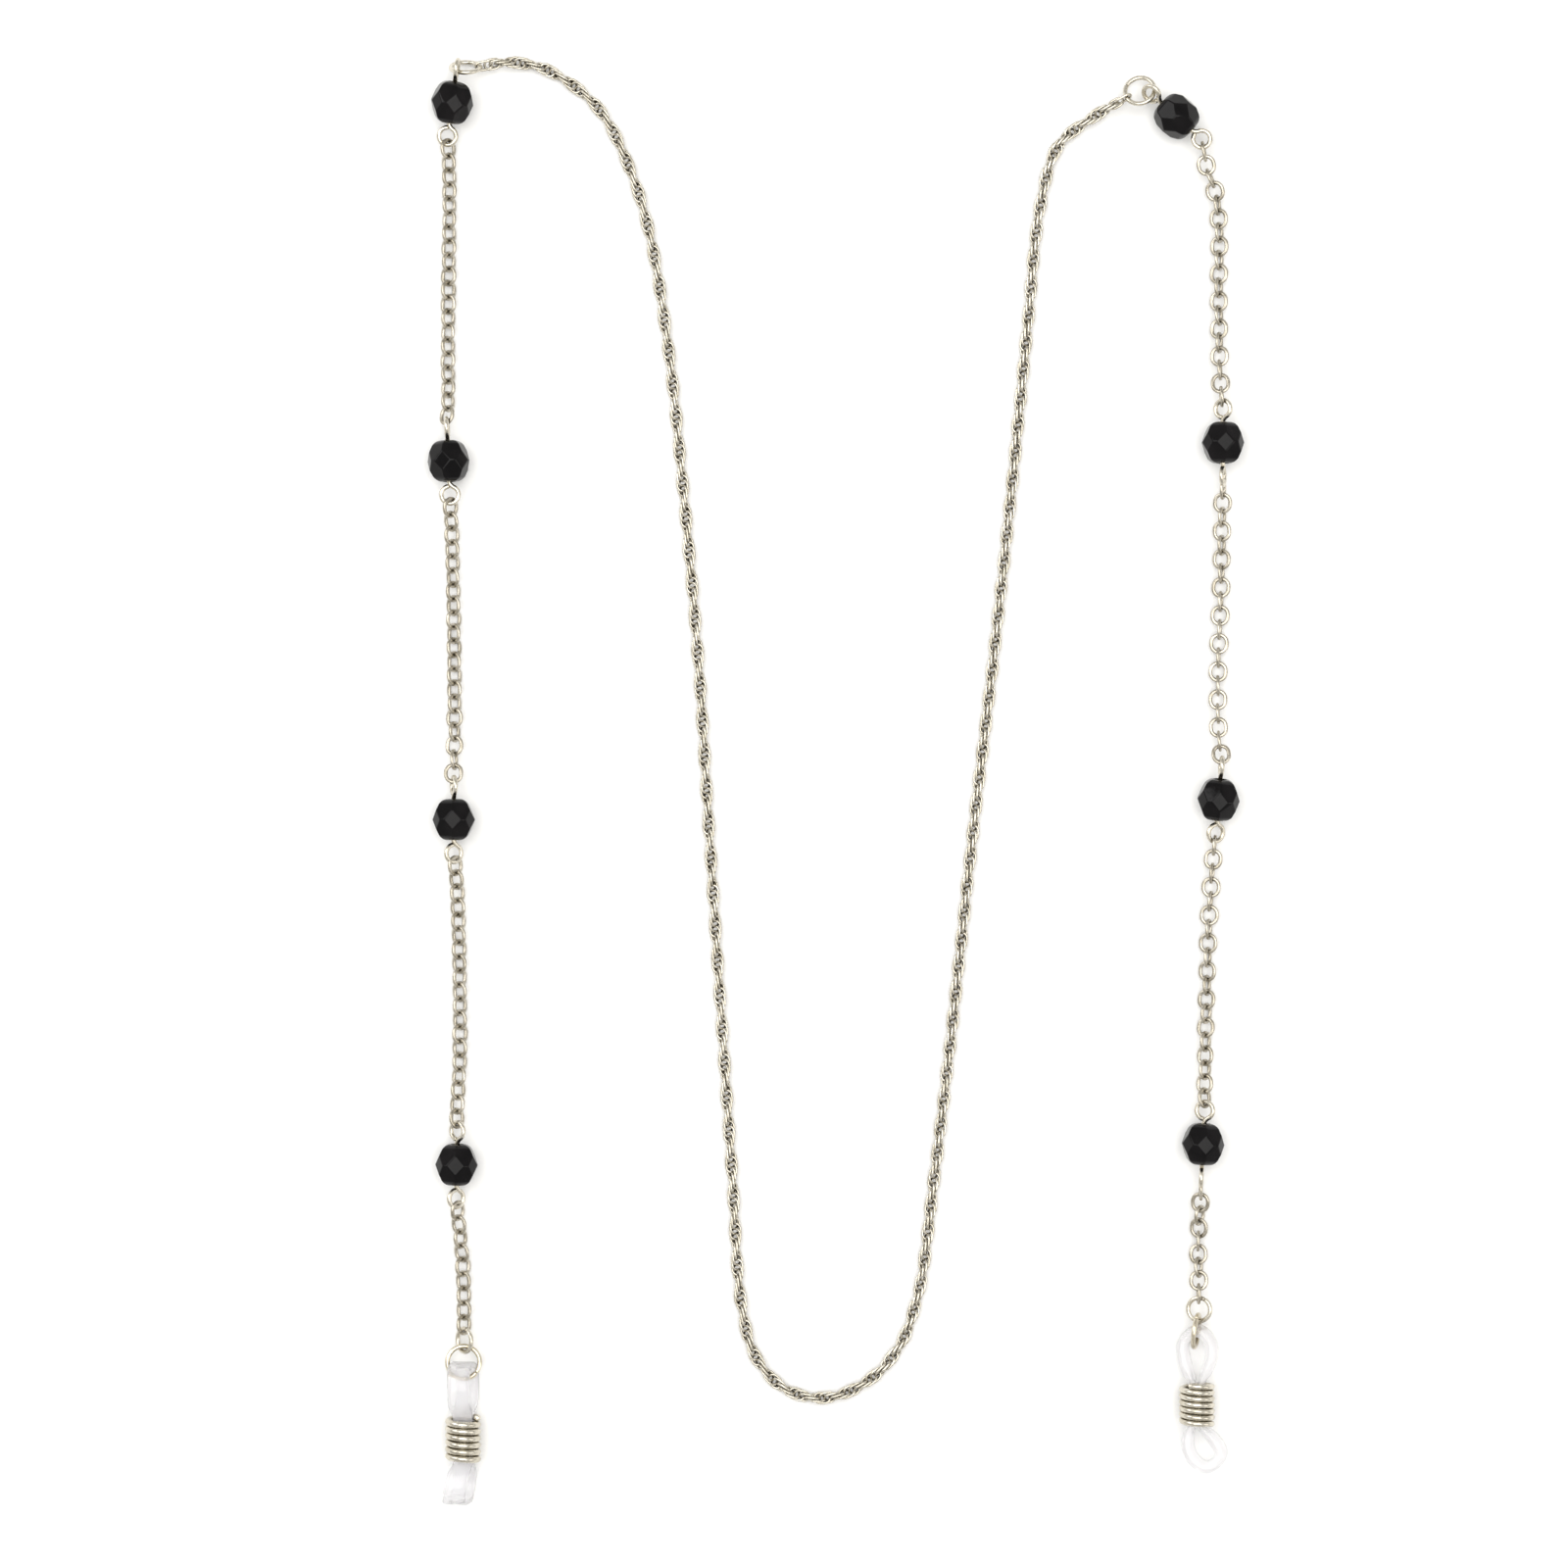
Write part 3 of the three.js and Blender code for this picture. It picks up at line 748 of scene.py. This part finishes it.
def bead_points():
    """Corners of the faceted bead: a ridge round the middle, six diamonds and two flat ends."""
    half = math.pi / BEAD["sides"]
    slope = math.tan(math.radians(BEAD["slope"]))
    ridge = (BEAD["apothem"] - BEAD["diamond_apothem"] * math.cos(half)) / math.sin(half)
    diamond_top = (BEAD["apothem"] - BEAD["diamond_apothem"] * math.cos(half)) / slope
    end_radius = (BEAD["apothem"] - BEAD["half_length"] * slope) / math.cos(half)
    points = []
    for i in range(BEAD["sides"]):
        turn = 2 * half * i
        out = np.array([math.sin(turn), 0, math.cos(turn)])
        sideways = np.array([math.cos(turn), 0, -math.sin(turn)])
        points.append(BEAD["diamond_apothem"] * out + ridge * sideways)
        points.append(BEAD["diamond_apothem"] * out - ridge * sideways)
        for end in (-1, 1):
            points.append(BEAD["diamond_apothem"] * out + end * diamond_top * Y_AXIS)
            points.append(end_radius * out + end * BEAD["half_length"] * Y_AXIS)
    return np.array(points) * MM


def bore_cutter():
    """The bore with a dished rim at each end, turned about Y, and a little longer than the bead."""
    end = BEAD["half_length"]
    dish = BORE["rim_depth"]
    overshoot = 0.4
    lip_depth = 0.02
    profile = [
        (BORE["rim"], end + overshoot), (BORE["rim"] * BORE["lip"], end - lip_depth),
        (BORE["dish"], end - dish * 0.5), (BORE["throat"], end - dish), (BORE["bore"], end - 2 * dish),
    ]
    profile += [(radius, -y) for radius, y in reversed(profile)]
    sides = SIDES["bore"]
    points = []
    for radius, y in profile:
        for k in range(sides):
            turn = 2 * math.pi * k / sides
            points.append([radius * math.cos(turn), y, radius * math.sin(turn)])
    faces = []
    for i in range(0, (len(profile) - 1) * sides, sides):
        for k in range(sides):
            beside = (k + 1) % sides
            faces.append([i + k, i + beside, i + sides + beside, i + sides + k])
    faces.append(list(range(sides))[::-1])
    faces.append([(len(profile) - 1) * sides + k for k in range(sides)])
    return np.array(points) * MM, faces


def flip_outward(piece):
    """Turns the faces of a closed piece so that they all face out."""
    form = bmesh.new()
    form.from_mesh(piece.data)
    bmesh.ops.recalc_face_normals(form, faces=form.faces)
    form.to_mesh(piece.data)
    form.free()


def soften(form, edges, width, segments):
    """Rounds the edges off over this width."""
    bmesh.ops.bevel(
        form, geom=edges, offset=width * MM, segments=segments, profile=0.5, affect="EDGES",
        clamp_overlap=True,
    )


def bead_mesh(name):
    """The faceted bead before it is bored, with its corners a little uneven and its edges soft."""
    corners = bead_points()
    corners += np.array([[uneven(BEAD["uneven"]) * MM for _ in range(3)] for _ in corners])
    form = bmesh.new()
    for corner in corners:
        form.verts.new(corner)
    bmesh.ops.convex_hull(form, input=form.verts)
    one_facet = math.radians(3)
    bmesh.ops.dissolve_limit(form, angle_limit=one_facet, verts=form.verts, edges=form.edges)
    near_end = BEAD["half_length"] * MM * 0.97
    ends = [e for e in form.edges if all(abs(v.co.y) > near_end for v in e.verts)]
    soften(form, ends, BEAD["end_edge"], segments=5)
    crisp = math.radians(18)
    facets = [e for e in form.edges if e.calc_face_angle(0) > crisp]
    soften(form, facets, BEAD["facet_edge"], segments=3)
    bmesh.ops.recalc_face_normals(form, faces=form.faces)
    data = bpy.data.meshes.new(name)
    form.to_mesh(data)
    form.free()
    return data


def cut_bore(bead, material):
    """Cuts the bore through a bead that still lies along Y about the origin."""
    cutter = Mesh().add(bore_cutter()).build(f"{bead.name}_cutter", material, smooth=False)
    flip_outward(cutter)
    cut = bead.modifiers.new("bore", "BOOLEAN")
    cut.operation = "DIFFERENCE"
    cut.object = cutter
    cut.solver = "EXACT"
    bpy.context.view_layer.update()
    graph = bpy.context.evaluated_depsgraph_get()
    finished = bpy.data.meshes.new_from_object(bead.evaluated_get(graph))
    bead.modifiers.clear()
    bead.data = finished
    bpy.data.objects.remove(cutter)


def add_bead(side, number, pin, material):
    """A fire polished bead, turned and moved to its place on its pin."""
    name = f"{side}_bead_{number}_glass"
    bead = new_object(name, bead_mesh(name), material)
    cut_bore(bead, material)
    bead.data.shade_smooth()
    weighted = bead.modifiers.new("even_facets", "WEIGHTED_NORMAL")
    weighted.keep_sharp = True
    whole = np.eye(4)
    whole[:3, :3] = pin_matrix(pin) @ turned(1, pin["spin"])
    whole[:3, 3] = np.array(pin["at"]) * MM
    bead.data.transform(Matrix(whole.tolist()))
    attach(bead, f"{side}_bead_{number}")
    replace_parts(bead, f"{side}_bead_{number}")


def add_ring(side, kind, place, size, material):
    """A jump ring: one round wire whose two cut ends nearly meet."""
    hook = ring_hook(place, size)
    faces_sideways = abs(hook["normal"][0]) >= 0.9
    first = laid_in_plane(Y_AXIS if faces_sideways else X_AXIS, hook["normal"])
    second = np.cross(hook["normal"], first)
    half_gap = 4.0
    points_round = 72
    line = []
    for angle in np.linspace(size["cut"] + half_gap, size["cut"] + 360 - half_gap, points_round):
        turn = math.radians(angle)
        outward = first * math.cos(turn) + second * math.sin(turn)
        line.append(hook["centre"] + outward * hook["radius"])
    shape = wire(line, hook["wire"] / 2, hook["normal"])
    body = f"{side}_{kind}_ring"
    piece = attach(Mesh().add(shape).build(f"{body}_wire", material), body)
    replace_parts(piece, body)


def grip_place(grip, points):
    """Moves points from a grip's own across, along and up to where the grip lies."""
    return np.array(points) * MM @ turned(1, grip["roll"]).T + np.array(grip["at"]) * MM


def coil_half(grip):
    """Half the coil's length."""
    return (COIL["turns"] + 1) * grip["pitch"] / 2


def coil_wire(grip):
    """Diameter of the coil's wire: its turns lie almost against each other."""
    return grip["pitch"] - COIL["slack"]


def add_coil(side, grip, material):
    """The sliding coil: one wire wound a little unevenly round the clear band."""
    radius = (COIL["outer"] - coil_wire(grip)) / 2
    points_per_turn = 28
    count = round(COIL["turns"] * points_per_turn)
    line = []
    for i in range(count + 1):
        share = i / count
        turn = 2 * math.pi * COIL["turns"] * share
        shift = COIL["uneven"] * math.sin(COIL["uneven_beat"] * turn)
        y = grip["pitch"] * COIL["turns"] * (share - 0.5) + shift
        line.append([radius * math.cos(turn), y, radius * math.sin(turn)])
    shape = wire(grip_place(grip, line), coil_wire(grip) * MM / 2, Y_AXIS)
    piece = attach(Mesh().add(shape).build(f"{side}_coil_wire", material), f"{side}_keeper")
    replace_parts(piece, f"{side}_keeper_coil")


def add_band(side, grip, material):
    """The clear band in two halves that meet inside the coil."""
    upper, lower = grip["upper"], grip["lower"]
    steps = 8
    line = smooth_line([[x, y, 0] for x, y in [*upper, *lower]], closed=True, steps=steps)
    split = len(upper) * steps
    halves = {"upper": line[:split + 1], "lower": np.vstack([line[split:], line[:1]])}
    for part, half in halves.items():
        past_pinch = np.abs(half[:, 1]) - coil_half(grip) + BAND["short"]
        free = np.clip(past_pinch / BAND["opening"], 0, 1)
        free = free * free * (3 - 2 * free)
        slide = free * grip["shear"] * np.clip(half[:, 0] / BAND["strand"], -1, 1)
        sections = []
        for share in free:
            across = BAND["pinched_thick"] + (grip["half_thick"] - BAND["pinched_thick"]) * share
            high = BAND["pinched_width"] + (BAND["half_width"] - BAND["pinched_width"]) * share
            sections.append(flattened_section(across, high, SIDES["band"], power=4.0))
        half = half + slide[:, None] * Z_AXIS
        points, faces = sweep(half, np.array(sections), Z_AXIS)
        points[:, 2] += grip["lean"] * np.maximum(0, -coil_half(grip) - points[:, 1])
        mesh = Mesh().add((grip_place(grip, points), faces))
        piece = mesh.build(f"{side}_band_{part}", material)
        sign = 1 if part == "upper" else -1
        ends = [[0, sign * BAND["widest"], 0], [0, sign * (coil_half(grip) - BAND["short"]), 0]]
        widest, mouth = grip_place(grip, ends)
        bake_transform(piece)
        if part == "upper":
            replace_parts(piece, f"{side}_temple_loop")


# ---------------------------------------------------------------- the whole chain

add_camera()

# The crevice colours below are painted shade. Ambient occlusion multiplies them into crevices and gaps
# between parts.
plated = silver(
    "silver_plate", bright=(0.70, 0.66, 0.57), tarnish=(0.54, 0.50, 0.41), crevice_shade=(0.40, 0.35, 0.24),
    shade_reach=0.9, roughness=(0.2, 0.36),
)
warm_plate = silver(
    "warm_plate", bright=(0.74, 0.68, 0.55), tarnish=(0.58, 0.52, 0.40), crevice_shade=(0.25, 0.20, 0.12),
    shade_reach=1.2, roughness=(0.16, 0.3),
)
chain_plate = silver(
    "chain_plate", bright=(0.56, 0.52, 0.44), tarnish=(0.38, 0.345, 0.275),
    crevice_shade=(0.08, 0.062, 0.035), shade_reach=1.2, roughness=(0.2, 0.38),
)
rope_plate = silver(
    "rope_plate", bright=(0.70, 0.66, 0.57), tarnish=(0.52, 0.48, 0.39), crevice_shade=(0.14, 0.115, 0.07),
    shade_reach=0.7, roughness=(0.18, 0.36),
)
jet = black_glass()
vinyl = clear_vinyl()

add_rope(
    "rope_links", ring_hook(RINGS["left"]["top"], TOP_RING), ring_hook(RINGS["right"]["top"], TOP_RING),
    rope_plate,
)
for side in ("left", "right"):
    small = ring_hook(RINGS[side]["small"], SMALL_RING)
    for i, cable in enumerate(CABLES[side]):
        below = eye_hook(PINS[side][i + 1], 1) if i + 1 < len(PINS[side]) else small
        add_cable(side, i + 1, eye_hook(PINS[side][i], -1), below, cable, chain_plate)
    for i, pin in enumerate(PINS[side]):
        add_pin(side, i + 1, pin, plated)
        add_bead(side, i + 1, pin, jet)
    add_ring(side, "top", RINGS[side]["top"], TOP_RING, plated)
    add_ring(side, "small", RINGS[side]["small"], SMALL_RING, plated)
    add_ring(side, "large", RINGS[side]["large"], LARGE_RING, warm_plate)
    add_coil(side, GRIPS[side], plated)
    add_band(side, GRIPS[side], vinyl)

add_studio()
add_floor()
